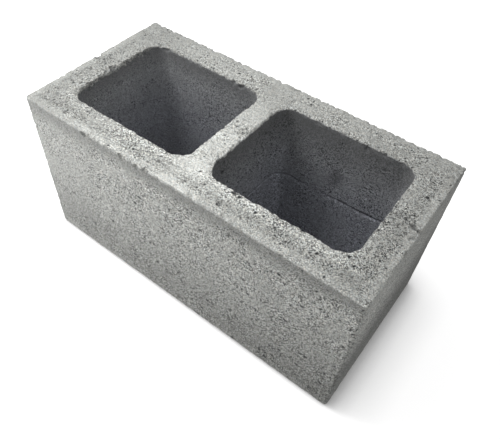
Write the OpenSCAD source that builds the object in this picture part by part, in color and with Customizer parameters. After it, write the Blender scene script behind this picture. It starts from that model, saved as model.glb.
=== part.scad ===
// Hollow concrete block, cast as one piece, with a row of tapered cores open at both bed faces.
// The origin is the centre of the bottom bed face: X runs along the wall, Y through it and Z up.

/* [Block] */
// Length along the wall
block_length = 397; // [300:1:600]
// Width through the wall
block_width = 194; // [140:1:300]
// Height of one course
block_height = 194; // [90:1:290]
// Radius of the upright outer corners
corner_radius = 3; // [2:0.5:12]
// Wear of the sharp edges round the bed faces and the core mouths
arris_wear = 1.5; // [0.5:0.1:2.5]

/* [Shells and webs] */
// Thickness of both face shells at the top bed face
face_shell = 33; // [20:0.5:50]
// Thickness of both end webs at the top bed face
end_web = 32.5; // [20:0.5:60]
// Thickness of each web between two cores at the top bed face
inner_web = 26.5; // [18:0.5:60]

/* [Cores] */
// Cores in the row
core_count = 2; // [1:1:3]
// Radius of a core's upright corners at the top bed face
core_corner = 17; // [8:0.5:40]
// Lean of each core wall, measured inwards from the top bed face to the bottom one
core_draft = 2.6; // [0.5:0.1:6]

/* [Hidden] */
$fn = 96;

core_length = (block_length - 2 * end_web - (core_count - 1) * inner_web) / core_count;
core_width = block_width - 2 * face_shell;
core_pitch = core_length + inner_web;
first_core = -(core_count - 1) * core_pitch / 2;

// The cutter of a core runs this far past both bed faces
cut_margin = 1;

// Corner radius of a core at height z: the corner centres stay put and the walls lean in
function core_radius(z) = core_corner - core_draft * (1 - z / block_height);

// Profiles from the bottom up, as pairs of reach beyond the corner centres and height
block_profile = [
    [corner_radius - arris_wear, 0],
    [corner_radius, arris_wear],
    [corner_radius, block_height - arris_wear],
    [corner_radius - arris_wear, block_height]
];
core_profile = [
    [core_radius(0) + arris_wear + cut_margin, -cut_margin],
    [core_radius(arris_wear), arris_wear],
    [core_radius(block_height - arris_wear), block_height - arris_wear],
    [core_radius(block_height) + arris_wear + cut_margin, block_height + cut_margin]
];

// Outline of a slab whose two sides follow the profile, "span" apart at zero reach
function slab_outline(span, profile) = concat(
    [for (p = profile) [span / 2 + p[0], p[1]]],
    [for (i = [len(profile) - 1 : -1 : 0]) [-span / 2 - profile[i][0], profile[i][1]]]
);

module slab(span, depth, profile) {
    rotate([90, 0, 0])
        linear_extrude(depth, center = true)
            polygon(slab_outline(span, profile));
}

// Quarter turn of the profile about the corner centre
module corner(profile) {
    top = profile[len(profile) - 1][1];
    rotate_extrude(angle = 90)
        polygon(concat([[0, profile[0][1]]], profile, [[0, top]]));
}

// Upright solid on a rounded rectangle, whose walls and corners all follow the profile.
// length and width are the distances between the corner centres.
module rounded_prism(length, width, profile) {
    slab(length, width, profile);
    rotate(90) slab(width, length, profile);
    for (x = [0, 1], y = [0, 1])
        mirror([x, 0, 0])
            mirror([0, y, 0])
                translate([length / 2, width / 2, 0])
                    corner(profile);
}

module block() {
    color([0.66, 0.66, 0.64])
        difference() {
            rounded_prism(
                block_length - 2 * corner_radius,
                block_width - 2 * corner_radius,
                block_profile
            );
            for (i = [0 : core_count - 1])
                translate([first_core + i * core_pitch, 0, 0])
                    rounded_prism(
                        core_length - 2 * core_corner,
                        core_width - 2 * core_corner,
                        core_profile
                    );
        }
}

block();
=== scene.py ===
import math

import bmesh
import bpy
from mathutils import Matrix, Vector


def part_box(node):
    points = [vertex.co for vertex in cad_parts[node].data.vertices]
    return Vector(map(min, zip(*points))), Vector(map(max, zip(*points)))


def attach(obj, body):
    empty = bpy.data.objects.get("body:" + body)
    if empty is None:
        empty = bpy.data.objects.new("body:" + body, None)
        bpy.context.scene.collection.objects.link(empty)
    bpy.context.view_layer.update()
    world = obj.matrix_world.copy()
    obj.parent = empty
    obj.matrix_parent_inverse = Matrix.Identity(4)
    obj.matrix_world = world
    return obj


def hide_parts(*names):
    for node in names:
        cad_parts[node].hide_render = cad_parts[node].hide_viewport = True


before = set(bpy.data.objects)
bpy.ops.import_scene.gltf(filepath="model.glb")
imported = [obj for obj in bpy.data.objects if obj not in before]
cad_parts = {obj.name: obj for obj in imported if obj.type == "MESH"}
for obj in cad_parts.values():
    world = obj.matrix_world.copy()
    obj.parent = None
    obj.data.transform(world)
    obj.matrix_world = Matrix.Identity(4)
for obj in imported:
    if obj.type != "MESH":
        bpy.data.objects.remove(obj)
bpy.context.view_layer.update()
scene = bpy.context.scene
scene.view_settings.view_transform = "Standard"

mm = 0.001
low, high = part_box("block")
length, width, height = high - low
halfBox = (length / 2, width / 2, height)


# adds a node, sets it up and links or fills its inputs
def addNode(tree, kind, inputs=None, **settings):
    node = tree.nodes.new(kind)
    for name, value in settings.items():
        setattr(node, name, value)
    for key, value in (inputs or {}).items():
        socket = node.inputs[key]
        if isinstance(value, bpy.types.NodeSocket):
            tree.links.new(value, socket)
        else:
            socket.default_value = value
    return node


def linear(hexColour):
    parts = [int(hexColour[i:i + 2], 16) / 255 for i in (1, 3, 5)]
    return [c / 12.92 if c <= 0.04045 else ((c + 0.055) / 1.055) ** 2.4 for c in parts] + [1.0]


def newObject(name, data):
    made = bpy.data.objects.new(name, data)
    scene.collection.objects.link(made)
    return made


def newMaterial(name):
    made = bpy.data.materials.new(name)
    made.use_nodes = True
    made.node_tree.nodes.clear()
    return made, made.node_tree


def newTree(name, inputs):
    tree = bpy.data.node_groups.new(name, "GeometryNodeTree")
    tree.interface.new_socket("Geometry", in_out="INPUT", socket_type="NodeSocketGeometry")
    tree.interface.new_socket("Geometry", in_out="OUTPUT", socket_type="NodeSocketGeometry")
    for label, kind in inputs.items():
        tree.interface.new_socket(label, in_out="INPUT", socket_type="NodeSocket" + kind)
    return tree, tree.nodes.new("NodeGroupInput").outputs


def addTree(piece, tree, values):
    modifier = piece.modifiers.new(tree.name, "NODES")
    modifier.node_group = tree
    for item in tree.interface.items_tree:
        if item.in_out == "INPUT" and item.name in values:
            modifier[item.identifier] = values[item.name]


# turns what the modifiers make into the object's own plain mesh
def bakeModifiers(piece):
    bpy.context.view_layer.update()
    evaluated = piece.evaluated_get(bpy.context.evaluated_depsgraph_get())
    made = bpy.data.meshes.new_from_object(evaluated)
    piece.modifiers.clear()
    old = piece.data
    piece.data = made
    made.name = piece.name
    bpy.data.meshes.remove(old)


# depth in from the outer faces, and depth below the top bed face
def edgeDepths(tree, place):
    away = addNode(tree, "ShaderNodeVectorMath", {0: place}, operation="ABSOLUTE").outputs[0]
    inside = addNode(tree, "ShaderNodeVectorMath", {0: halfBox, 1: away}, operation="SUBTRACT").outputs[0]
    parts = addNode(tree, "ShaderNodeSeparateXYZ", {0: inside}).outputs
    across = addNode(tree, "ShaderNodeMath", {0: parts[0], 1: parts[1]}, operation="MINIMUM").outputs[0]
    return across, parts[2]


# Camera, at the photograph's own angle
view = {
    "place": (0.2353, -0.3271, 0.5314),  # metres, off the front right corner and above it
    "yaw": 35.51,  # degrees, turned from straight at the front face towards its left end
    "pitch": 50.05,  # degrees below level
    "roll": 2.91,
    "lens": 38.18,
    "shift": (0.0341, 0.0096),
}
camera = newObject("camera", bpy.data.cameras.new("camera"))
camera.data.lens = view["lens"]
camera.data.shift_x, camera.data.shift_y = view["shift"]
turn = Matrix.Rotation(math.radians(view["yaw"]), 4, "Z")
turn = turn @ Matrix.Rotation(math.radians(90 - view["pitch"]), 4, "X")
turn = turn @ Matrix.Rotation(math.radians(view["roll"]), 4, "Z")
camera.matrix_world = Matrix.Translation(view["place"]) @ turn
scene.camera = camera
print("camera placed")


# Dry-cast concrete, pressed nearly dry in a steel mould: matt grey paste full of sand, open pits on the
# struck-off top, a closer skin where the mould slid past, a darker strip under the top edge, pale arrises
# of crumbs and painted highlight, and painted light and shade in many places
concrete = {
    "warmPaste": "#B9B7B0",
    "coolPaste": "#B2B6B5",
    "paintedCoreTint": "#AFB1B8",  # painted blue-grey tint of the dim light deep in the cores
    # the colour of the painted shade in pits, holes and the seam line
    "paintedShadeColour": "#2C2D2F",
    "roughness": 0.93,
    "ior": 1.5,
    "bump": (0.6, 0.35 * mm),  # strength and height of the finest relief
    # broad patterns
    "crumb": 5 * mm,  # ragged edges: of the pale dust on the core mouths, of the seam
    "cloud": 18 * mm,
    "mottle": 110 * mm,
    # grain: a share has three values, on the sides, on the top and in the cores
    "grainShare": (0.86, 0.96, 0.9),  # how strongly it shows
    "closeShare": 0.55,  # grain left in the close strips along the edges
    "draggedShare": 0.6,  # and on the middle web, which the strike-off bar dragged smooth
    "sand": 0.8 * mm,  # the real sand is finer, drawn this coarse so that it shows
    "sandTone": (-1.1, 0.86),  # a dark gap, a pale grain
    "sandRise": (0.1, 0.7, 0.4),  # from a grain's middle to its edge, and how far it stands up
    "darkest": 0.08,  # of the paste's tone
    "grit": 2.6 * mm,  # coarser grains, each paler than the gap round it
    "gritRange": (0.15, 0.75),
    "gritTone": (0.3, -0.25),
    "gritShare": (0.1, 0.6, 0.4),
    # pits and holes, painted dark as shade, whose sizes are shares of their spacing
    "pit": 2.4 * mm,  # spacing of the small pits
    "pitWarp": 1.2 * mm,
    "pitStretch": (0.7, 0.7, 1.0),  # they lie a little long, along the courses of the filling
    "pitChance": (0.26, 0.34, 0.16),  # on the sides, on the top, in the cores
    "pitOpen": 0.1,  # a draw this far under the chance opens a pit fully
    "pitSize": 0.4,
    "pitSmallest": 0.5,  # of that size
    "pitEdge": (0.07, 0.9),  # width of the edge, painted shade inside
    "blowhole": 5 * mm,  # spacing of the fewer, rounder holes
    "blowholeSize": (0.75, 1.0, 0.34),  # draws that make none and the largest, and its size
    "blowholeEdge": (0.07, 0.95),
    "hollowShade": 0.7,  # painted shade in the hollows that are modelled
    # pale crumbs that run down from the core mouths
    "paleEdge": (0.35, 0.7),
    "paleLeast": 2.4 * mm,
    "paleFade": 1 * mm,
    # where the filling paused, in the right core: a line of painted shadow with painted light on the ledge
    # under it
    "seam": (103.6 * mm, 0.046, -0.022),  # height, and lean along x and y
    "seamShadow": (0.4 * mm, 0.85),  # half width of its darkest part, darkness of the painted shadow
    "ledgeLight": (3.4 * mm, 2.0 * mm, 0.6 * mm, 0.6),  # depth under the line, fading, full, how pale the painted light is
    # a damp smear on the far wall of the right core
    "damp": (87 * mm, 63 * mm, 135 * mm),
    "dampDraw": (2.0, 1.0, 0.75),  # drawn narrow and upright
    "dampRange": (4 * mm, 18 * mm),
    "dampTone": 0.6,
    # tones of the outer faces, the core walls and the top
    # the painted shade of the foot fades out up to this height
    "footTop": 165 * mm,
    "sideTone": 1.05,
    "sideLip": (1.8 * mm, 0.66),  # pale crumbs and painted highlight down to here, then a darker strip
    "wallTop": 6 * mm,
    "deepWall": (80 * mm, 140 * mm),
    "lipTone": (1.18, 0.95),  # at the outer edge of the top, and further in
    "farLip": 1.06,
    "mouthTone": (1.1, 1.03),  # beside the cores: along the webs, along the back shell
    "drag": 3.0 * mm,  # spacing of the streaks that the strike-off bar left
    "dragDraw": (0.1, 1.0, 1.0),  # they run along the block
    "dragTone": (0.3, 0.7, 0.92, 1.08),
    # ramps: what each one follows, where it starts and stops, and its value there
    "ramps": {
        # masks
        "turned": ("overArris", -0.3 * mm, 0.5 * mm, 0.0, 1.0),
        "inWall": ("across", 24 * mm, 26 * mm, 0.0, 1.0),
        "farWall": ("y", 50 * mm, 60 * mm, 0.0, 1.0),
        "rightCore": ("x", 0.0, 10 * mm, 0.0, 1.0),
        "onWeb": ("fromMiddle", 22 * mm, 12 * mm, 0.0, 1.0),
        "onEnd": ("x", high.x - 3 * mm, high.x - 1.5 * mm, 0.0, 1.0),
        "onRight": ("x", 150 * mm, 170 * mm, 0.0, 1.0),
        "farther": ("y", 30 * mm, 70 * mm, 0.0, 1.0),
        "nearer": ("y", -40 * mm, -60 * mm, 0.0, 1.0),
        "lower": ("below", 15 * mm, 70 * mm, 0.0, 1.0),
        # depth of the pale crumbs
        "paleNear": ("x", 0.0, 10 * mm, 9 * mm, 4.5 * mm),
        "paleFar": ("x", 0.0, 10 * mm, 5 * mm, 2.6 * mm),
        # where the grain shows more
        "patchy": ("cloud", 0.35, 0.65, 0.7, 1.3),
        "cluster": ("cloud", 0.35, 0.65, 0.2, 1.8),
        "coarserFront": ("y", low.y, high.y, 1.1, 0.74),
        "coarserFoot": ("z", low.z, high.z, 1.2, 0.9),
        # seam and damp smear
        "seamWander": ("cloud", 0.0, 1.0, -3 * mm, 3 * mm),
        "seamGap": ("crumb", 0.4, 0.65, 0.9 * mm, 2.4 * mm),
        "seamRight": ("x", 75 * mm, 100 * mm, 0.2, 1.0),
        "seamWeb": ("x", 60 * mm, 50 * mm, 0.2, 0.5),
        "dampEdge": ("cloud", 0.3, 0.7, -9 * mm, 9 * mm),
        # tones all over
        "clouds": ("tint", 0.3, 0.7, 0.94, 1.06),
        "broad": ("mottle", 0.3, 0.7, 0.95, 1.05),
        # tones of the outer faces: painted shade towards the foot, painted bounce light along the ground
        # edge, a duller right end, painted shade on the left end
        "paintedFootShade": ("x", low.x, high.x, 0.66, 0.53),
        "sideLipTone": ("x", 0.0, high.x, 1.1, 1.6),
        "sideLipStop": ("x", 0.0, high.x, 3.4 * mm, 4.76 * mm),
        "endBand": ("x", high.x - 3 * mm, high.x - 1.5 * mm, 0.0, 0.7),
        "paintedGroundBounce": ("z", 4 * mm, 16 * mm, 1.14, 1.0),
        "leftward": ("x", -190 * mm, -60 * mm, 0.87, 1.03),
        "rightward": ("x", 60 * mm, 190 * mm, 1.0, 0.91),
        # on the right end: painted shade towards the foot, painted bounce light right at the ground, darker
        # towards the back
        "endFoot": ("z", 30 * mm, 140 * mm, 0.48, 1.0),
        "endFar": ("y", -50 * mm, 80 * mm, 1.05, 0.8),
        "paintedEndBounce": ("z", 0.0, 60 * mm, 2.4, 1.0),
        # painted shade: the left end, which the low lamp lights strongly, is drawn darker
        "leftEnd": ("x", low.x + 3 * mm, low.x + 1.5 * mm, 1.0, 0.75),
        # painted light and shade of the core walls, left and right, and a painted blue tint deep down
        "paintedBlueCast": ("below", 0.0, 100 * mm, 0.4, 1.0),
        "wallRim": ("x", -10 * mm, 10 * mm, 0.52, 0.44),
        "wallStop": ("x", -10 * mm, 10 * mm, 30 * mm, 50 * mm),
        "wallFull": ("x", -10 * mm, 10 * mm, 0.91, 0.8),
        "wallDeep": ("x", -10 * mm, 10 * mm, 0.84, 1.1),
        "palerRight": ("x", 80 * mm, 100 * mm, 0.0, 0.13),
        "palerWeb": ("x", 30 * mm, 20 * mm, 0.0, 0.3),
        # tones of the top, and painted shade on its right end
        "mouthNear": ("x", 0.0, 20 * mm, 1.14, 1.34),
        "duller": ("y", 30 * mm, 70 * mm, 1.0, 0.9),
        "webTone": ("y", -20 * mm, 60 * mm, 1.22, 0.93),
        "bare": ("x", -170 * mm, -120 * mm, 0.82, 1.0),
        "paintedRightShade": ("y", -60 * mm, 60 * mm, 0.8, 0.96),
    },
    "softRamps": {
        # close strips, where the mould and the strike-off bar pressed the paste shut
        "skinBand": ("below", 7 * mm, 26 * mm, 0.0, 1.0),  # under the outer top edge
        "mouthBand": ("below", 6 * mm, 24 * mm, 0.0, 1.0),  # under the core mouths
        "outerLip": ("across", 5 * mm, 12 * mm, 0.0, 1.0),  # round the outer edge of the top
        "innerLip": ("across", 15 * mm, 28 * mm, 0.0, 1.0),  # along the core mouths
        "coarserRight": ("x", -190 * mm, -60 * mm, 0.72, 1.0),  # the left end was struck off smoother
        "dust": ("fromMiddle", 10 * mm, 150 * mm, 1.3, 1.15),  # palest on the middle web
    },
}


def dryCastConcrete():
    made, tree = newMaterial("dryCastConcrete")
    place = addNode(tree, "ShaderNodeTexCoord").outputs["Object"]
    x, y, z = addNode(tree, "ShaderNodeSeparateXYZ", {0: place}).outputs
    across, below = edgeDepths(tree, place)
    noise = {}
    for name, detail in (("crumb", 2.0), ("cloud", 2.0), ("mottle", 1.0)):
        noise[name] = addNode(
            tree, "ShaderNodeTexNoise", {"Vector": place, "Scale": 1 / concrete[name], "Detail": detail}
        ).outputs
    crumb = noise["crumb"][0]
    follows = {"x": x, "y": y, "z": z, "across": across, "below": below, "crumb": crumb}
    follows["fromMiddle"] = addNode(tree, "ShaderNodeMath", {0: x}, operation="ABSOLUTE").outputs[0]
    follows["overArris"] = addNode(
        tree, "ShaderNodeMath", {0: across, 1: below}, operation="SUBTRACT"
    ).outputs[0]
    follows["cloud"], follows["tint"] = noise["cloud"][:2]
    follows["mottle"] = noise["mottle"][0]
    ramp = {}
    for rows, ease in (("ramps", "LINEAR"), ("softRamps", "SMOOTHSTEP")):
        for name, (along, start, stop, first, last) in concrete[rows].items():
            ramp[name] = addNode(
                tree,
                "ShaderNodeMapRange",
                {0: follows[along], 1: start, 2: stop, 3: first, 4: last},
                interpolation_type=ease,
            ).outputs[0]

    # which face this is: top, outer side or core wall
    paleStart, paleStop = concrete["paleEdge"]
    paleMost = addNode(
        tree,
        "ShaderNodeMix",
        {0: ramp["farWall"], 2: ramp["paleNear"], 3: ramp["paleFar"]},
        data_type="FLOAT",
    ).outputs[0]
    paleDepth = addNode(
        tree,
        "ShaderNodeMapRange",
        {0: crumb, 1: paleStart, 2: paleStop, 3: concrete["paleLeast"], 4: paleMost},
    ).outputs[0]
    fullDepth = addNode(
        tree, "ShaderNodeMath", {0: paleDepth, 1: concrete["paleFade"]}, operation="SUBTRACT"
    ).outputs[0]
    shallow = addNode(tree, "ShaderNodeMapRange", {0: below, 1: paleDepth, 2: fullDepth}).outputs[0]
    top = addNode(tree, "ShaderNodeMath", {0: ramp["turned"], 1: shallow}, operation="MULTIPLY").outputs[0]
    notTop = addNode(tree, "ShaderNodeMath", {0: 1.0, 1: top}, operation="SUBTRACT").outputs[0]
    core = addNode(tree, "ShaderNodeMath", {0: ramp["inWall"], 1: notTop}, operation="MULTIPLY").outputs[0]
    rightCore = addNode(
        tree, "ShaderNodeMath", {0: ramp["rightCore"], 1: core}, operation="MULTIPLY"
    ).outputs[0]
    byFace = {}
    for name in ("grainShare", "gritShare", "pitChance"):
        onSides, onTop, inCores = concrete[name]
        outside = addNode(tree, "ShaderNodeMapRange", {0: top, 3: onSides, 4: onTop}).outputs[0]
        byFace[name] = addNode(
            tree, "ShaderNodeMix", {0: core, 2: outside, 3: inCores}, data_type="FLOAT"
        ).outputs[0]

    # how strongly the grain shows, place by place
    openness = addNode(
        tree, "ShaderNodeMix", {0: core, 2: ramp["skinBand"], 3: ramp["mouthBand"]}, data_type="FLOAT"
    ).outputs[0]
    openness = addNode(
        tree, "ShaderNodeMix", {0: top, 2: openness, 3: ramp["outerLip"]}, data_type="FLOAT"
    ).outputs[0]
    dragged = addNode(tree, "ShaderNodeMath", {0: ramp["onWeb"], 1: top}, operation="MULTIPLY").outputs[0]
    dragged = addNode(
        tree, "ShaderNodeMapRange", {0: dragged, 3: 1.0, 4: concrete["draggedShare"]}
    ).outputs[0]
    coarser = [ramp[name] for name in ("patchy", "coarserRight", "coarserFront", "coarserFoot")]
    grainShow = addNode(
        tree, "ShaderNodeMapRange", {0: openness, 3: concrete["closeShare"], 4: 1.0}
    ).outputs[0]
    for share in coarser + [byFace["grainShare"], dragged]:
        grainShow = addNode(
            tree, "ShaderNodeMath", {0: grainShow, 1: share}, operation="MULTIPLY"
        ).outputs[0]

    # sand
    sand = addNode(tree, "ShaderNodeTexVoronoi", {"Vector": place, "Scale": 1 / concrete["sand"]}).outputs
    sandDraw = addNode(tree, "ShaderNodeSeparateColor", {0: sand["Color"]}).outputs
    colour = addNode(
        tree,
        "ShaderNodeMix",
        {0: sandDraw["Blue"], 6: linear(concrete["warmPaste"]), 7: linear(concrete["coolPaste"])},
        data_type="RGBA",
    ).outputs[2]
    # painted blue-grey tint of the dim light, strongest deep in the cores
    paintedBlueCast = addNode(
        tree, "ShaderNodeMath", {0: ramp["paintedBlueCast"], 1: core}, operation="MULTIPLY"
    ).outputs[0]
    colour = addNode(
        tree, "ShaderNodeMix", {0: paintedBlueCast, 6: colour, 7: linear(concrete["paintedCoreTint"])}, data_type="RGBA"
    ).outputs[2]
    gapTone, grainTone = concrete["sandTone"]
    grain = addNode(
        tree, "ShaderNodeMapRange", {0: sandDraw["Red"], 3: gapTone, 4: grainTone}
    ).outputs[0]
    gritStart, gritStop = concrete["gritRange"]
    middleTone, edgeTone = concrete["gritTone"]
    grit = addNode(
        tree, "ShaderNodeTexVoronoi", {"Vector": place, "Scale": 1 / concrete["grit"]}
    ).outputs["Distance"]
    grit = addNode(
        tree, "ShaderNodeMapRange", {0: grit, 1: gritStart, 2: gritStop, 3: middleTone, 4: edgeTone}
    ).outputs[0]
    grain = addNode(
        tree, "ShaderNodeMath", {0: grit, 1: byFace["gritShare"], 2: grain}, operation="MULTIPLY_ADD"
    ).outputs[0]
    tone = addNode(
        tree, "ShaderNodeMath", {0: grain, 1: grainShow, 2: 1.0}, operation="MULTIPLY_ADD"
    ).outputs[0]
    tone = addNode(
        tree, "ShaderNodeMath", {0: tone, 1: concrete["darkest"]}, operation="MAXIMUM"
    ).outputs[0]

    # small ragged pits painted dark as shade, in clusters, most of them on the top
    warp = addNode(
        tree, "ShaderNodeTexNoise", {"Vector": place, "Scale": 1 / concrete["pitWarp"]}
    ).outputs[1]
    warped = addNode(
        tree,
        "ShaderNodeVectorMath",
        {0: warp, 1: [concrete["pitWarp"]] * 3, 2: place},
        operation="MULTIPLY_ADD",
    ).outputs[0]
    warped = addNode(
        tree, "ShaderNodeVectorMath", {0: warped, 1: concrete["pitStretch"]}, operation="MULTIPLY"
    ).outputs[0]
    pits = addNode(tree, "ShaderNodeTexVoronoi", {"Vector": warped, "Scale": 1 / concrete["pit"]}).outputs
    chance = byFace["pitChance"]
    for share in (ramp["cluster"], grainShow):
        chance = addNode(tree, "ShaderNodeMath", {0: chance, 1: share}, operation="MULTIPLY").outputs[0]
    drawn, drawnSize = addNode(tree, "ShaderNodeSeparateColor", {0: pits["Color"]}).outputs[:2]
    pitSize = addNode(tree, "ShaderNodeMath", {0: chance, 1: drawn}, operation="SUBTRACT").outputs[0]
    pitSize = addNode(
        tree, "ShaderNodeMapRange", {0: pitSize, 2: concrete["pitOpen"], 4: concrete["pitSize"]}
    ).outputs[0]
    drawnSize = addNode(
        tree, "ShaderNodeMapRange", {0: drawnSize, 3: concrete["pitSmallest"], 4: 1.0}
    ).outputs[0]
    pitSize = addNode(tree, "ShaderNodeMath", {0: pitSize, 1: drawnSize}, operation="MULTIPLY").outputs[0]

    # blowholes painted dark as shade, a round one here and there
    blow = addNode(
        tree, "ShaderNodeTexVoronoi", {"Vector": warped, "Scale": 1 / concrete["blowhole"]}
    ).outputs
    blowStart, blowStop, blowMost = concrete["blowholeSize"]
    blowSize = addNode(tree, "ShaderNodeSeparateColor", {0: blow["Color"]}).outputs[0]
    blowSize = addNode(
        tree, "ShaderNodeMapRange", {0: blowSize, 1: blowStart, 2: blowStop, 4: blowMost}
    ).outputs[0]
    blowSize = addNode(tree, "ShaderNodeMath", {0: blowSize, 1: grainShow}, operation="MULTIPLY").outputs[0]

    # the larger hollows that are modelled get painted shade too
    holes = addNode(tree, "ShaderNodeAttribute", attribute_name="hollow").outputs["Fac"]
    holes = addNode(
        tree, "ShaderNodeMath", {0: holes, 1: concrete["hollowShade"]}, operation="MULTIPLY"
    ).outputs[0]
    for cells, size, edge in ((pits, pitSize, "pitEdge"), (blow, blowSize, "blowholeEdge")):
        edgeWidth, shade = concrete[edge]
        hole = addNode(
            tree, "ShaderNodeMath", {0: size, 1: cells["Distance"]}, operation="SUBTRACT"
        ).outputs[0]
        hole = addNode(tree, "ShaderNodeMapRange", {0: hole, 2: edgeWidth, 4: shade}).outputs[0]
        holes = addNode(tree, "ShaderNodeMath", {0: holes, 1: hole}, operation="MAXIMUM").outputs[0]

    # the seam, painted shadow and painted light, fades in and out
    seamHeight, seamX, seamY = concrete["seam"]
    seam = addNode(tree, "ShaderNodeMath", {0: x, 1: -seamX, 2: z}, operation="MULTIPLY_ADD").outputs[0]
    seam = addNode(tree, "ShaderNodeMath", {0: y, 1: -seamY, 2: seam}, operation="MULTIPLY_ADD").outputs[0]
    seam = addNode(tree, "ShaderNodeMath", {0: seam, 1: seamHeight}, operation="SUBTRACT").outputs[0]
    seam = addNode(tree, "ShaderNodeMath", {0: seam, 1: ramp["seamWander"]}, operation="ADD").outputs[0]
    broken = addNode(
        tree, "ShaderNodeMath", {0: ramp["seamRight"], 1: ramp["seamWeb"]}, operation="MAXIMUM"
    ).outputs[0]
    broken = addNode(tree, "ShaderNodeMath", {0: broken, 1: rightCore}, operation="MULTIPLY").outputs[0]
    lineHalf, lineShade = concrete["seamShadow"]
    line = addNode(tree, "ShaderNodeMath", {0: seam}, operation="ABSOLUTE").outputs[0]
    line = addNode(
        tree, "ShaderNodeMapRange", {0: line, 1: ramp["seamGap"], 2: lineHalf, 4: lineShade}
    ).outputs[0]
    line = addNode(tree, "ShaderNodeMath", {0: line, 1: broken}, operation="MULTIPLY").outputs[0]
    holes = addNode(tree, "ShaderNodeMath", {0: holes, 1: line}, operation="MAXIMUM").outputs[0]
    ledgeDepth, ledgeFade, ledgeFull, ledgeTone = concrete["ledgeLight"]
    ledgeLight = addNode(tree, "ShaderNodeMath", {0: seam, 1: ledgeDepth}, operation="ADD").outputs[0]
    ledgeLight = addNode(tree, "ShaderNodeMath", {0: ledgeLight}, operation="ABSOLUTE").outputs[0]
    ledgeLight = addNode(
        tree, "ShaderNodeMapRange", {0: ledgeLight, 1: ledgeFade, 2: ledgeFull, 4: ledgeTone}
    ).outputs[0]
    ledgeLight = addNode(
        tree, "ShaderNodeMath", {0: ledgeLight, 1: broken, 2: 1.0}, operation="MULTIPLY_ADD"
    ).outputs[0]

    # the outer faces: a pale lip of crumbs and painted highlight, the darker strip under it, and painted
    # shade towards the foot
    lipDepth, stripTone = concrete["sideLip"]
    band = addNode(
        tree,
        "ShaderNodeMapRange",
        {0: below, 1: lipDepth, 2: ramp["sideLipStop"], 3: ramp["sideLipTone"], 4: stripTone},
    ).outputs[0]
    for name in ("skinBand", "endBand"):
        band = addNode(
            tree, "ShaderNodeMix", {0: ramp[name], 2: band, 3: 1.0}, data_type="FLOAT"
        ).outputs[0]
    endTone = ramp["endFoot"]
    for name in ("endFar", "paintedEndBounce"):
        endTone = addNode(
            tree, "ShaderNodeMath", {0: endTone, 1: ramp[name]}, operation="MULTIPLY"
        ).outputs[0]
    endTone = addNode(
        tree, "ShaderNodeMix", {0: ramp["onEnd"], 2: 1.0, 3: endTone}, data_type="FLOAT"
    ).outputs[0]
    sides = addNode(
        tree,
        "ShaderNodeMapRange",
        {0: z, 1: low.z, 2: concrete["footTop"], 3: ramp["paintedFootShade"], 4: concrete["sideTone"]},
        interpolation_type="SMOOTHSTEP",
    ).outputs[0]
    for share in (band, endTone, *(ramp[name] for name in ("paintedGroundBounce", "leftward", "rightward", "leftEnd"))):
        sides = addNode(tree, "ShaderNodeMath", {0: sides, 1: share}, operation="MULTIPLY").outputs[0]

    # core walls: painted shade, darkest under the mouths and deep in the left core, with painted light
    # lower down in the right core
    deepStart, deepStop = concrete["deepWall"]
    deep = addNode(
        tree, "ShaderNodeMapRange", {0: below, 1: deepStart, 2: deepStop, 3: 1.0, 4: ramp["wallDeep"]}
    ).outputs[0]
    paler = addNode(
        tree,
        "ShaderNodeMath",
        {0: ramp["palerWeb"], 1: rightCore, 2: ramp["palerRight"]},
        operation="MULTIPLY_ADD",
    ).outputs[0]
    paler = addNode(
        tree, "ShaderNodeMath", {0: paler, 1: ramp["lower"], 2: 1.0}, operation="MULTIPLY_ADD"
    ).outputs[0]
    dampStart, dampStop = concrete["dampRange"]
    damp = addNode(
        tree, "ShaderNodeVectorMath", {0: place, 1: concrete["damp"]}, operation="SUBTRACT"
    ).outputs[0]
    damp = addNode(
        tree, "ShaderNodeVectorMath", {0: damp, 1: concrete["dampDraw"]}, operation="MULTIPLY"
    ).outputs[0]
    damp = addNode(tree, "ShaderNodeVectorMath", {0: damp}, operation="LENGTH").outputs["Value"]
    damp = addNode(tree, "ShaderNodeMath", {0: damp, 1: ramp["dampEdge"]}, operation="ADD").outputs[0]
    damp = addNode(
        tree, "ShaderNodeMapRange", {0: damp, 1: dampStart, 2: dampStop, 3: concrete["dampTone"], 4: 1.0}
    ).outputs[0]
    walls = addNode(
        tree,
        "ShaderNodeMapRange",
        {
            0: below,
            1: concrete["wallTop"],
            2: ramp["wallStop"],
            3: ramp["wallRim"],
            4: ramp["wallFull"],
        },
    ).outputs[0]
    for share in (deep, paler, damp):
        walls = addNode(tree, "ShaderNodeMath", {0: walls, 1: share}, operation="MULTIPLY").outputs[0]
    sides = addNode(tree, "ShaderNodeMix", {0: core, 2: sides, 3: walls}, data_type="FLOAT").outputs[0]

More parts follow.
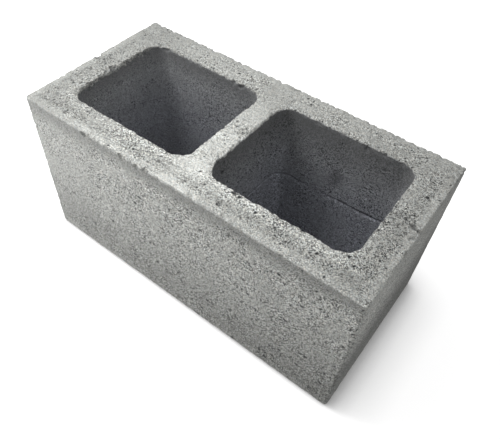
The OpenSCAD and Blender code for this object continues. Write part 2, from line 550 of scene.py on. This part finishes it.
    # the top: pale lips, pale dust on the middle web, painted shade on the right end, streaks from the
    # strike-off bar
    webMouth, farMouth = concrete["mouthTone"]
    mouthTone = addNode(
        tree, "ShaderNodeMix", {0: ramp["nearer"], 2: webMouth, 3: ramp["mouthNear"]}, data_type="FLOAT"
    ).outputs[0]
    mouthTone = addNode(
        tree, "ShaderNodeMix", {0: ramp["farther"], 2: mouthTone, 3: farMouth}, data_type="FLOAT"
    ).outputs[0]
    lipEdge, lipInside = concrete["lipTone"]
    lip = addNode(tree, "ShaderNodeMapRange", {0: ramp["outerLip"], 3: lipEdge, 4: lipInside}).outputs[0]
    lip = addNode(
        tree, "ShaderNodeMix", {0: ramp["farther"], 2: lip, 3: concrete["farLip"]}, data_type="FLOAT"
    ).outputs[0]
    lip = addNode(
        tree, "ShaderNodeMix", {0: ramp["innerLip"], 2: lip, 3: mouthTone}, data_type="FLOAT"
    ).outputs[0]
    webTone = addNode(
        tree, "ShaderNodeMix", {0: ramp["onWeb"], 2: 1.0, 3: ramp["webTone"]}, data_type="FLOAT"
    ).outputs[0]
    paintedRightShade = addNode(
        tree, "ShaderNodeMix", {0: ramp["onRight"], 2: 1.0, 3: ramp["paintedRightShade"]}, data_type="FLOAT"
    ).outputs[0]
    dragStart, dragStop, dragDark, dragPale = concrete["dragTone"]
    drag = addNode(
        tree, "ShaderNodeVectorMath", {0: place, 1: concrete["dragDraw"]}, operation="MULTIPLY"
    ).outputs[0]
    drag = addNode(
        tree, "ShaderNodeTexNoise", {"Vector": drag, "Scale": 1 / concrete["drag"], "Detail": 1.0}
    ).outputs[0]
    drag = addNode(
        tree, "ShaderNodeMapRange", {0: drag, 1: dragStart, 2: dragStop, 3: dragDark, 4: dragPale}
    ).outputs[0]
    dust = ramp["dust"]
    for share in (lip, ramp["duller"], webTone, ramp["bare"], paintedRightShade, drag):
        dust = addNode(tree, "ShaderNodeMath", {0: dust, 1: share}, operation="MULTIPLY").outputs[0]

    # grain, seam and broad tones together, with the painted shade of the holes over them
    shell = addNode(tree, "ShaderNodeMix", {0: top, 2: sides, 3: dust}, data_type="FLOAT").outputs[0]
    for share in (ledgeLight, ramp["clouds"], ramp["broad"], shell):
        tone = addNode(tree, "ShaderNodeMath", {0: tone, 1: share}, operation="MULTIPLY").outputs[0]
    colour = addNode(tree, "ShaderNodeVectorMath", {0: colour, "Scale": tone}, operation="SCALE").outputs[0]
    colour = addNode(
        tree, "ShaderNodeMix", {0: holes, 6: colour, 7: linear(concrete["paintedShadeColour"])}, data_type="RGBA"
    ).outputs[2]
    riseStart, riseStop, riseMost = concrete["sandRise"]
    rise = addNode(
        tree, "ShaderNodeMapRange", {0: sand["Distance"], 1: riseStart, 2: riseStop, 3: riseMost, 4: 0.0}
    ).outputs[0]
    rise = addNode(tree, "ShaderNodeMath", {0: rise, 1: holes}, operation="SUBTRACT").outputs[0]
    bumpStrength, bumpHeight = concrete["bump"]
    bump = addNode(
        tree, "ShaderNodeBump", {"Height": rise, "Strength": bumpStrength, "Distance": bumpHeight}
    ).outputs[0]
    shader = addNode(
        tree,
        "ShaderNodeBsdfPrincipled",
        {
            "Base Color": colour,
            "Roughness": concrete["roughness"],
            "IOR": concrete["ior"],
            "Normal": bump,
        },
    ).outputs[0]
    addNode(tree, "ShaderNodeOutputMaterial", {"Surface": shader})
    print("concrete mixed:", len(tree.nodes), "nodes")
    return made


# The block's own skin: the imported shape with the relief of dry-cast concrete, worn inwards only
skin = {
    "voxel": 1.1 * mm,
    "triangles": 195000,
    "weld": 0.001 * mm,
    "sharp": 30,  # degrees, edges that turn more than this are arrises
    "lump": 18 * mm,
    "lumpDepth": 0.35 * mm,
    "grit": 3.2 * mm,
    "gritDepth": 0.5 * mm,  # on the struck-off top
    "gritDepthSide": 0.1 * mm,  # on the faces that the mould pressed
    "pore": 3.4 * mm,
    "poreDepth": 1.2 * mm,
    "arrisReach": 4 * mm,
    "arrisDepth": 0.8 * mm,  # along the outer edges
    "backDepth": 2.2 * mm,  # along the edges of the back, which crumbled more
    "back": (60 * mm, 90 * mm),  # where the back begins
    "mouthDepth": 1.4 * mm,  # along the core mouths
    "arrisCrumb": 5 * mm,
    "barMiddle": 3 * mm,  # of the rough strip across the tops of the three webs
    "bites": 0.03,  # bites to a square millimetre of arris
    "biteReach": (1.6 * mm, 6.4 * mm),
    "biteLift": 0.6,  # of its reach, how far a bite's centre stands off the arris
    "biteRough": 2.5 * mm,
    "shadeDepth": 1.2 * mm,  # a scoop this deep has its full painted shade
    "margin": (0.05 * mm, 0.05 * mm, 0.03 * mm),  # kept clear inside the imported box
    "seed": 7,
    # ramps: what each one follows, where it starts and stops, and its value there
    "ramps": {
        "top": ("facing", 0.5, 0.9, 0.0, 1.0),
        "mouth": ("across", 20 * mm, 26 * mm, 0.0, 1.0),
        "rimOpen": ("rim", 4 * mm, 10 * mm, 0.35, 1.0),  # the outer rim of the top is close
        "lumps": ("lump", 0.3, 0.7, 0.0, 1.0),
        "grit": ("grit", 0.1, 0.75, 0.0, 1.0),
        "poreStart": ("offBar", 12 * mm, 8 * mm, 0.63, 0.53),  # more pores in the rough strip
        "poreFull": ("offBar", 12 * mm, 8 * mm, 0.76, 0.66),
        "crumbs": ("crumb", 0.42, 0.8, 0.0, 1.0),
        "onArris": ("toArris", 0.8 * mm, 2.2 * mm, 1.0, 0.0),
        "moreBack": ("y", 60 * mm, 90 * mm, 0.3, 1.5),
        "moreLeft": ("x", -170 * mm, -190 * mm, 0.3, 1.3),
        "moreMouth": ("across", 20 * mm, 26 * mm, 0.3, 1.2),
        "biteRough": ("rough", 0.3, 0.7, 0.7, 1.2),
        "knockRough": ("rough", 0.3, 0.7, 0.85, 1.15),
    },
}
# knocks and open pits, in millimetres: place, reach, and how much painted shade the hollow gets
knocks = [
    ((-199.5, -98, 195), 5.0, 0.0),
    ((199.5, -98, 165), 2.6, 0.3),
    ((200, -98.5, -1.5), 6.0, 0.0),
    ((-200, -98.5, -1.5), 6.0, 0.0),
    ((-195, -0.5, 195.4), 4.6, 0.2),
    ((-198, 2, 194.6), 6.4, 0.1),
    ((-201, 4, 191), 7.2, 0.0),
    ((-202, 5, 186), 7.0, 0.0),
    ((-190, -1, 195), 2.4, 0.8),
    ((-186, 2, 195.2), 2.6, 0.8),
    ((-181, -2, 195), 2.2, 0.8),
    ((-176, 1, 195), 2.4, 0.8),
    ((-165, -13, 194.5), 4.4, 0.7),
    ((-166, -3, 195), 5.6, 0.8),
    ((-164.5, 12, 194), 3.6, 0.4),
    ((-165, -40, 194), 3.4, 0.4),
    ((-173, -14, 195.2), 2.6, 0.8),
    ((-183, -20, 195.2), 3.0, 0.7),
    ((-176, -73, 195.2), 3.2, 0.7),
    ((-147, -88, 195), 2.8, 0.7),
    ((48, -86, 195.2), 3.4, 0.8),
    ((8, -82, 195.2), 2.8, 0.8),
    ((-27, -80, 195), 2.4, 0.8),
    ((172, 0, 194.8), 3.0, 1.0),
    ((176, -1, 195), 2.4, 0.8),
    ((189.5, -2.4, 194.8), 3.2, 1.0),
    ((193, -3.4, 194.8), 2.8, 1.0),
    ((197, -4.2, 195), 3.2, 0.8),
    ((175, 71, 194.8), 2.0, 1.0),
    ((183.5, 54.5, 194.8), 1.8, 1.0),
    ((1.5, 3.5, 194.7), 2.4, 1.0),
    ((4, -2, 194.6), 2.0, 1.0),
    ((5, 5, 194.7), 2.2, 1.0),
    ((8, 0.5, 194.6), 2.6, 1.0),
    ((10.5, -4, 194.7), 2.0, 1.0),
    ((11.5, 3.5, 194.6), 2.6, 1.0),
    ((14.5, 7, 193.6), 4.0, 0.3),
    ((15, 14, 194), 3.6, 0.2),
    ((15.5, 21, 194), 3.2, 0.2),
    ((67, -98, 176), 2.6, 0.5),
    ((122, 61.2, 72), 2.4, 1.0),
    ((134, 62.6, 174), 2.4, 1.0),
]


# pushes points out of the sphere round the nearest centre, so each centre leaves a scoop, and stores its
# painted shade as hollow
def scoop(tree, geometry, centres, rough):
    place = addNode(tree, "GeometryNodeInputPosition").outputs[0]
    nearest = addNode(
        tree, "GeometryNodeSampleNearest", {"Geometry": centres, "Sample Position": place}
    ).outputs[0]
    centre = addNode(
        tree,
        "GeometryNodeSampleIndex",
        {"Geometry": centres, "Value": place, "Index": nearest},
        data_type="FLOAT_VECTOR",
    ).outputs[0]
    sampled = {}
    for name in ("reach", "shade"):
        stored = addNode(
            tree, "GeometryNodeInputNamedAttribute", {"Name": name}, data_type="FLOAT"
        ).outputs[0]
        sampled[name] = addNode(
            tree,
            "GeometryNodeSampleIndex",
            {"Geometry": centres, "Value": stored, "Index": nearest},
            data_type="FLOAT",
        ).outputs[0]
    reach = addNode(
        tree, "ShaderNodeMath", {0: sampled["reach"], 1: rough}, operation="MULTIPLY"
    ).outputs[0]
    out = addNode(tree, "ShaderNodeVectorMath", {0: place, 1: centre}, operation="SUBTRACT").outputs[0]
    away = addNode(tree, "ShaderNodeVectorMath", {0: out}, operation="LENGTH").outputs["Value"]
    inside = addNode(tree, "FunctionNodeCompare", {0: away, 1: reach}, operation="LESS_THAN").outputs[0]
    eaten = addNode(tree, "ShaderNodeMath", {0: reach, 1: away}, operation="SUBTRACT").outputs[0]
    eaten = addNode(
        tree, "ShaderNodeMapRange", {0: eaten, 2: skin["shadeDepth"], 4: sampled["shade"]}
    ).outputs[0]
    hollow = addNode(
        tree, "GeometryNodeInputNamedAttribute", {"Name": "hollow"}, data_type="FLOAT"
    ).outputs[0]
    hollow = addNode(tree, "ShaderNodeMath", {0: hollow, 1: eaten}, operation="MAXIMUM").outputs[0]
    geometry = addNode(
        tree,
        "GeometryNodeStoreNamedAttribute",
        {"Geometry": geometry, "Name": "hollow", "Value": hollow},
        data_type="FLOAT",
    ).outputs[0]
    out = addNode(tree, "ShaderNodeVectorMath", {0: out}, operation="NORMALIZE").outputs[0]
    out = addNode(tree, "ShaderNodeVectorMath", {0: out, "Scale": reach}, operation="SCALE").outputs[0]
    moved = addNode(tree, "ShaderNodeVectorMath", {0: centre, 1: out}, operation="ADD").outputs[0]
    return addNode(
        tree, "GeometryNodeSetPosition", {"Geometry": geometry, "Selection": inside, "Position": moved}
    ).outputs[0]


def castSkin():
    tree, given = newTree(
        "castSkin",
        {
            "Arris": "Object",
            "Knocks": "Object",
            "Lump": "Float",
            "Lump Depth": "Float",
            "Grit": "Float",
            "Grit Depth": "Float",
            "Grit Depth Side": "Float",
            "Pore": "Float",
            "Pore Depth": "Float",
            "Arris Reach": "Float",
            "Arris Depth": "Float",
            "Back Depth": "Float",
            "Mouth Depth": "Float",
            "Arris Crumb": "Float",
            "Bites": "Float",
            "Bite Least": "Float",
            "Bite Most": "Float",
            "Bite Rough": "Float",
            "Seed": "Int",
            "Concrete": "Material",
        },
    )
    place = addNode(tree, "GeometryNodeInputPosition").outputs[0]
    normal = addNode(tree, "GeometryNodeInputNormal").outputs[0]
    x, y = addNode(tree, "ShaderNodeSeparateXYZ", {0: place}).outputs[:2]
    across, below = edgeDepths(tree, place)
    wire = addNode(tree, "GeometryNodeObjectInfo", {"Object": given["Arris"]}).outputs["Geometry"]
    toArris = addNode(
        tree, "GeometryNodeProximity", {0: wire, "Sample Position": place}, target_element="EDGES"
    ).outputs["Distance"]
    offBar = addNode(tree, "ShaderNodeMath", {0: y, 1: skin["barMiddle"]}, operation="SUBTRACT").outputs[0]
    follows = {"x": x, "y": y, "across": across, "toArris": toArris}
    follows["facing"] = addNode(tree, "ShaderNodeSeparateXYZ", {0: normal}).outputs[2]
    follows["rim"] = addNode(tree, "ShaderNodeMath", {0: across, 1: below}, operation="MAXIMUM").outputs[0]
    follows["offBar"] = addNode(tree, "ShaderNodeMath", {0: offBar}, operation="ABSOLUTE").outputs[0]

    # patterns: broad lumps, open pores, ragged bites, grains, crumbs along the arrises
    for name, size, detail in (
        ("lump", "Lump", 2.0), ("pore", "Pore", 1.0), ("rough", "Bite Rough", 1.0)
    ):
        scale = addNode(tree, "ShaderNodeMath", {0: 1.0, 1: given[size]}, operation="DIVIDE").outputs[0]
        follows[name] = addNode(
            tree, "ShaderNodeTexNoise", {"Vector": place, "Scale": scale, "Detail": detail}
        ).outputs[0]
    for name, size in (("grit", "Grit"), ("crumb", "Arris Crumb")):
        scale = addNode(tree, "ShaderNodeMath", {0: 1.0, 1: given[size]}, operation="DIVIDE").outputs[0]
        follows[name] = addNode(
            tree, "ShaderNodeTexVoronoi", {"Vector": place, "Scale": scale}
        ).outputs["Distance"]
    ramp = {}
    for name, (along, start, stop, first, last) in skin["ramps"].items():
        ramp[name] = addNode(
            tree, "ShaderNodeMapRange", {0: follows[along], 1: start, 2: stop, 3: first, 4: last}
        ).outputs[0]

    # broad unevenness
    depth = addNode(
        tree, "ShaderNodeMath", {0: ramp["lumps"], 1: given["Lump Depth"]}, operation="MULTIPLY"
    ).outputs[0]

    # sand grains that stand out of the paste
    gritDepth = addNode(
        tree, "ShaderNodeMapRange", {0: ramp["top"], 3: given["Grit Depth Side"], 4: given["Grit Depth"]}
    ).outputs[0]
    gritDepth = addNode(
        tree, "ShaderNodeMath", {0: gritDepth, 1: ramp["rimOpen"]}, operation="MULTIPLY"
    ).outputs[0]
    depth = addNode(
        tree, "ShaderNodeMath", {0: ramp["grit"], 1: gritDepth, 2: depth}, operation="MULTIPLY_ADD"
    ).outputs[0]

    # open pores between the grains of the top
    hollow = addNode(
        tree, "ShaderNodeMapRange", {0: follows["pore"], 1: ramp["poreStart"], 2: ramp["poreFull"]}
    ).outputs[0]
    for share in (ramp["rimOpen"], ramp["top"]):
        hollow = addNode(tree, "ShaderNodeMath", {0: hollow, 1: share}, operation="MULTIPLY").outputs[0]
    depth = addNode(
        tree, "ShaderNodeMath", {0: hollow, 1: given["Pore Depth"], 2: depth}, operation="MULTIPLY_ADD"
    ).outputs[0]

    # worn and crumbled arrises
    near = addNode(
        tree, "ShaderNodeMapRange", {0: toArris, 2: given["Arris Reach"], 3: 1.0, 4: 0.0}
    ).outputs[0]
    wear = addNode(tree, "ShaderNodeMath", {0: near, 1: ramp["crumbs"]}, operation="MULTIPLY").outputs[0]
    backStart, backStop = skin["back"]
    outer = addNode(
        tree,
        "ShaderNodeMapRange",
        {0: y, 1: backStart, 2: backStop, 3: given["Arris Depth"], 4: given["Back Depth"]},
    ).outputs[0]
    wearDepth = addNode(
        tree, "ShaderNodeMapRange", {0: ramp["mouth"], 3: outer, 4: given["Mouth Depth"]}
    ).outputs[0]
    depth = addNode(
        tree, "ShaderNodeMath", {0: wear, 1: wearDepth, 2: depth}, operation="MULTIPLY_ADD"
    ).outputs[0]
    inwards = addNode(tree, "ShaderNodeMath", {0: depth, 1: -1.0}, operation="MULTIPLY").outputs[0]
    offset = addNode(
        tree, "ShaderNodeVectorMath", {0: normal, "Scale": inwards}, operation="SCALE"
    ).outputs[0]
    # the pores are also stored as hollow, the painted shade of the hollows
    surface = addNode(
        tree,
        "GeometryNodeStoreNamedAttribute",
        {"Geometry": given["Geometry"], "Name": "hollow", "Value": hollow},
        data_type="FLOAT",
    ).outputs[0]
    surface = addNode(tree, "GeometryNodeSetPosition", {"Geometry": surface, "Offset": offset}).outputs[0]

    # small bites along every arris, most of them at the back, on the left and round the cores
    more = ramp["moreBack"]
    for name in ("moreLeft", "moreMouth"):
        more = addNode(tree, "ShaderNodeMath", {0: more, 1: ramp[name]}, operation="MAXIMUM").outputs[0]
    density = ramp["onArris"]
    for share in (given["Bites"], more):
        density = addNode(tree, "ShaderNodeMath", {0: density, 1: share}, operation="MULTIPLY").outputs[0]
    scatter = addNode(
        tree,
        "GeometryNodeDistributePointsOnFaces",
        {"Mesh": given["Geometry"], "Density": density, "Seed": given["Seed"]},
    ).outputs
    reach = addNode(
        tree,
        "FunctionNodeRandomValue",
        {2: given["Bite Least"], 3: given["Bite Most"], "Seed": given["Seed"]},
    ).outputs[1]
    lift = addNode(tree, "ShaderNodeMath", {0: reach, 1: skin["biteLift"]}, operation="MULTIPLY").outputs[0]
    lift = addNode(
        tree, "ShaderNodeVectorMath", {0: scatter["Normal"], "Scale": lift}, operation="SCALE"
    ).outputs[0]
    bites = addNode(
        tree, "GeometryNodeSetPosition", {"Geometry": scatter["Points"], "Offset": lift}
    ).outputs[0]
    bites = addNode(
        tree,
        "GeometryNodeStoreNamedAttribute",
        {"Geometry": bites, "Name": "reach", "Value": reach},
        data_type="FLOAT",
    ).outputs[0]
    surface = scoop(tree, surface, bites, ramp["biteRough"])

    # the knocks and open pits that are listed
    listed = addNode(tree, "GeometryNodeObjectInfo", {"Object": given["Knocks"]}).outputs["Geometry"]
    surface = scoop(tree, surface, listed, ramp["knockRough"])

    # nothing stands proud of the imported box
    margin = Vector(skin["margin"])
    held = place
    for limit, operation in ((low + margin, "MAXIMUM"), (high - margin, "MINIMUM")):
        held = addNode(tree, "ShaderNodeVectorMath", {0: held, 1: limit}, operation=operation).outputs[0]
    surface = addNode(tree, "GeometryNodeSetPosition", {"Geometry": surface, "Position": held}).outputs[0]
    surface = addNode(tree, "GeometryNodeRealizeInstances", {"Geometry": surface}).outputs[0]
    surface = addNode(
        tree, "GeometryNodeSetMaterial", {"Geometry": surface, "Material": given["Concrete"]}
    ).outputs[0]
    addNode(tree, "NodeGroupOutput", {0: surface})
    return tree


def makeBlock():
    shape = bmesh.new()
    shape.from_mesh(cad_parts["block"].data)
    bmesh.ops.remove_doubles(shape, verts=shape.verts, dist=skin["weld"])
    mesh = bpy.data.meshes.new("castBlock")
    shape.to_mesh(mesh)
    piece = newObject("castBlock", mesh)

    # the arrises: every sharp edge of the shape, and the four upright corners
    sharp = [e for e in shape.edges if e.calc_face_angle(0) > math.radians(skin["sharp"])]
    points = [v.co.copy() for e in sharp for v in e.verts]
    for sideX in (low.x, high.x):
        for sideY in (low.y, high.y):
            points += [Vector((sideX, sideY, low.z)), Vector((sideX, sideY, high.z))]
    shape.free()
    wireMesh = bpy.data.meshes.new("arris")
    wireMesh.from_pydata(points, [(i, i + 1) for i in range(0, len(points), 2)], [])
    wire = newObject("arris", wireMesh)

    knockMesh = bpy.data.meshes.new("knocks")
    knockMesh.from_pydata([Vector(spot) * mm for spot, reach, shade in knocks], [], [])
    reaches = knockMesh.attributes.new("reach", "FLOAT", "POINT")
    reaches.data.foreach_set("value", [reach * mm for spot, reach, shade in knocks])
    shades = knockMesh.attributes.new("shade", "FLOAT", "POINT")
    shades.data.foreach_set("value", [shade for spot, reach, shade in knocks])
    listed = newObject("knocks", knockMesh)

    remesh = piece.modifiers.new("fineSkin", "REMESH")
    remesh.mode = "VOXEL"
    remesh.voxel_size = skin["voxel"]
    biteLeast, biteMost = skin["biteReach"]
    addTree(
        piece,
        castSkin(),
        {
            "Arris": wire,
            "Knocks": listed,
            "Lump": skin["lump"],
            "Lump Depth": skin["lumpDepth"],
            "Grit": skin["grit"],
            "Grit Depth": skin["gritDepth"],
            "Grit Depth Side": skin["gritDepthSide"],
            "Pore": skin["pore"],
            "Pore Depth": skin["poreDepth"],
            "Arris Reach": skin["arrisReach"],
            "Arris Depth": skin["arrisDepth"],
            "Back Depth": skin["backDepth"],
            "Mouth Depth": skin["mouthDepth"],
            "Arris Crumb": skin["arrisCrumb"],
            "Bites": skin["bites"] / mm ** 2,
            "Bite Least": biteLeast,
            "Bite Most": biteMost,
            "Bite Rough": skin["biteRough"],
            "Seed": skin["seed"],
            "Concrete": dryCastConcrete(),
        },
    )
    bakeModifiers(piece)
    piece.data.calc_loop_triangles()
    full = len(piece.data.loop_triangles)
    thin = piece.modifiers.new("thin", "DECIMATE")
    thin.ratio = min(1.0, skin["triangles"] / full)
    bakeModifiers(piece)
    piece.data.shade_smooth()
    for helper in (wire, listed):
        bpy.data.objects.remove(helper)
    piece.data.calc_loop_triangles()
    print("block skin:", full, "triangles thinned to", len(piece.data.loop_triangles))
    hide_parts("block")
    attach(piece, "root")


makeBlock()

# Floor, light and background
studio = {
    "floor": 6.0,  # metres across
    "paper": "#F2F2F2",
    "paperGlow": 0.72,  # how white the paper shows where nothing shades it
    "paperPaintedShadow": (0.012, 0.025, 0.06),  # metres, reaches of the soft shadow painted round the block
    "paperLean": (-0.7, 0.0, 0.71),  # the painted shadow leans away from the lamps
    "paperLit": (-101 * mm, -95 * mm, 0.15),  # in front of the block, where the lamps light the paper, most of the painted shadow is left out
    "paperInCore": (20 * mm, 36 * mm, 0.1),  # and down the cores the glow is painted dark, as hardly any light comes there
    "sky": "#FFFFFF",
    "dome": 0.37,
    # lamps, in metres and watts
    "overhead": {"place": (-0.40, -0.10, 0.78), "size": (0.35, 0.35), "power": 3.4},
    "lowLeft": {"place": (-0.70, -0.40, 0.09), "size": (0.30, 0.16), "power": 3.9},  # stays below the top
}


# the rays that see the white background: straight, mirrored and through glass
def seenRays(tree):
    ray = addNode(tree, "ShaderNodeLightPath").outputs
    seen = ray["Is Camera Ray"]
    for kind in ("Is Glossy Ray", "Is Transmission Ray"):
        seen = addNode(tree, "ShaderNodeMath", {0: seen, 1: ray[kind]}, operation="MAXIMUM").outputs[0]
    return seen


# Matt white paper: it takes the block's real shadow, and shows white to the camera with a soft shadow
# painted round the block
def whitePaper():
    made, tree = newMaterial("whitePaper")
    diffuse = addNode(tree, "ShaderNodeBsdfDiffuse", {"Color": linear(studio["paper"])}).outputs[0]
    shaded = studio["paperGlow"]
    for reach in studio["paperPaintedShadow"]:
        shade = addNode(
            tree, "ShaderNodeAmbientOcclusion", {"Distance": reach, "Normal": studio["paperLean"]}
        ).outputs["AO"]
        shaded = addNode(tree, "ShaderNodeMath", {0: shade, 1: shaded}, operation="MULTIPLY").outputs[0]
    place = addNode(tree, "ShaderNodeTexCoord").outputs["Object"]
    y = addNode(tree, "ShaderNodeSeparateXYZ", {0: place}).outputs[1]
    litStart, litStop, litShade = studio["paperLit"]
    beside = addNode(
        tree, "ShaderNodeMapRange", {0: y, 1: litStart, 2: litStop, 3: litShade, 4: 1.0}
    ).outputs[0]
    strength = addNode(
        tree, "ShaderNodeMix", {0: beside, 2: studio["paperGlow"], 3: shaded}, data_type="FLOAT"
    ).outputs[0]
    across = edgeDepths(tree, place)[0]
    coreStart, coreStop, coreGlow = studio["paperInCore"]
    inCore = addNode(
        tree, "ShaderNodeMapRange", {0: across, 1: coreStart, 2: coreStop, 3: 1.0, 4: coreGlow}
    ).outputs[0]
    strength = addNode(tree, "ShaderNodeMath", {0: strength, 1: inCore}, operation="MULTIPLY").outputs[0]
    glow = addNode(tree, "ShaderNodeEmission", {"Strength": strength}).outputs[0]
    both = addNode(tree, "ShaderNodeAddShader", {0: diffuse, 1: glow}).outputs[0]
    mixed = addNode(tree, "ShaderNodeMixShader", {0: seenRays(tree), 1: diffuse, 2: both}).outputs[0]
    addNode(tree, "ShaderNodeOutputMaterial", {"Surface": mixed})
    return made


floorMesh = bpy.data.meshes.new("floor")
half = studio["floor"] / 2
corners = [(-half, -half, 0), (half, -half, 0), (half, half, 0), (-half, half, 0)]
floorMesh.from_pydata(corners, [], [(0, 1, 2, 3)])
floorMesh.materials.append(whitePaper())
newObject("floor", floorMesh)

world = bpy.data.worlds.new("studio")
scene.world = world
world.use_nodes = True
sky = world.node_tree
sky.nodes.clear()
dome = addNode(
    sky, "ShaderNodeBackground", {"Color": linear(studio["sky"]), "Strength": studio["dome"]}
).outputs[0]
white = addNode(sky, "ShaderNodeBackground", {"Color": linear(studio["sky"]), "Strength": 1.0}).outputs[0]
mixed = addNode(sky, "ShaderNodeMixShader", {0: seenRays(sky), 1: dome, 2: white}).outputs[0]
addNode(sky, "ShaderNodeOutputWorld", {"Surface": mixed})

for name in ("overhead", "lowLeft"):
    facts = studio[name]
    light = bpy.data.lights.new(name, "AREA")
    light.shape = "RECTANGLE"
    light.size, light.size_y = facts["size"]
    light.energy = facts["power"]
    lamp = newObject(name, light)
    lamp.visible_camera = False
    lamp.location = facts["place"]
    aim = Vector((0, 0, height / 2)) - lamp.location
    lamp.rotation_euler = aim.to_track_quat("-Z", "Y").to_euler()
print("floor and lamps placed")
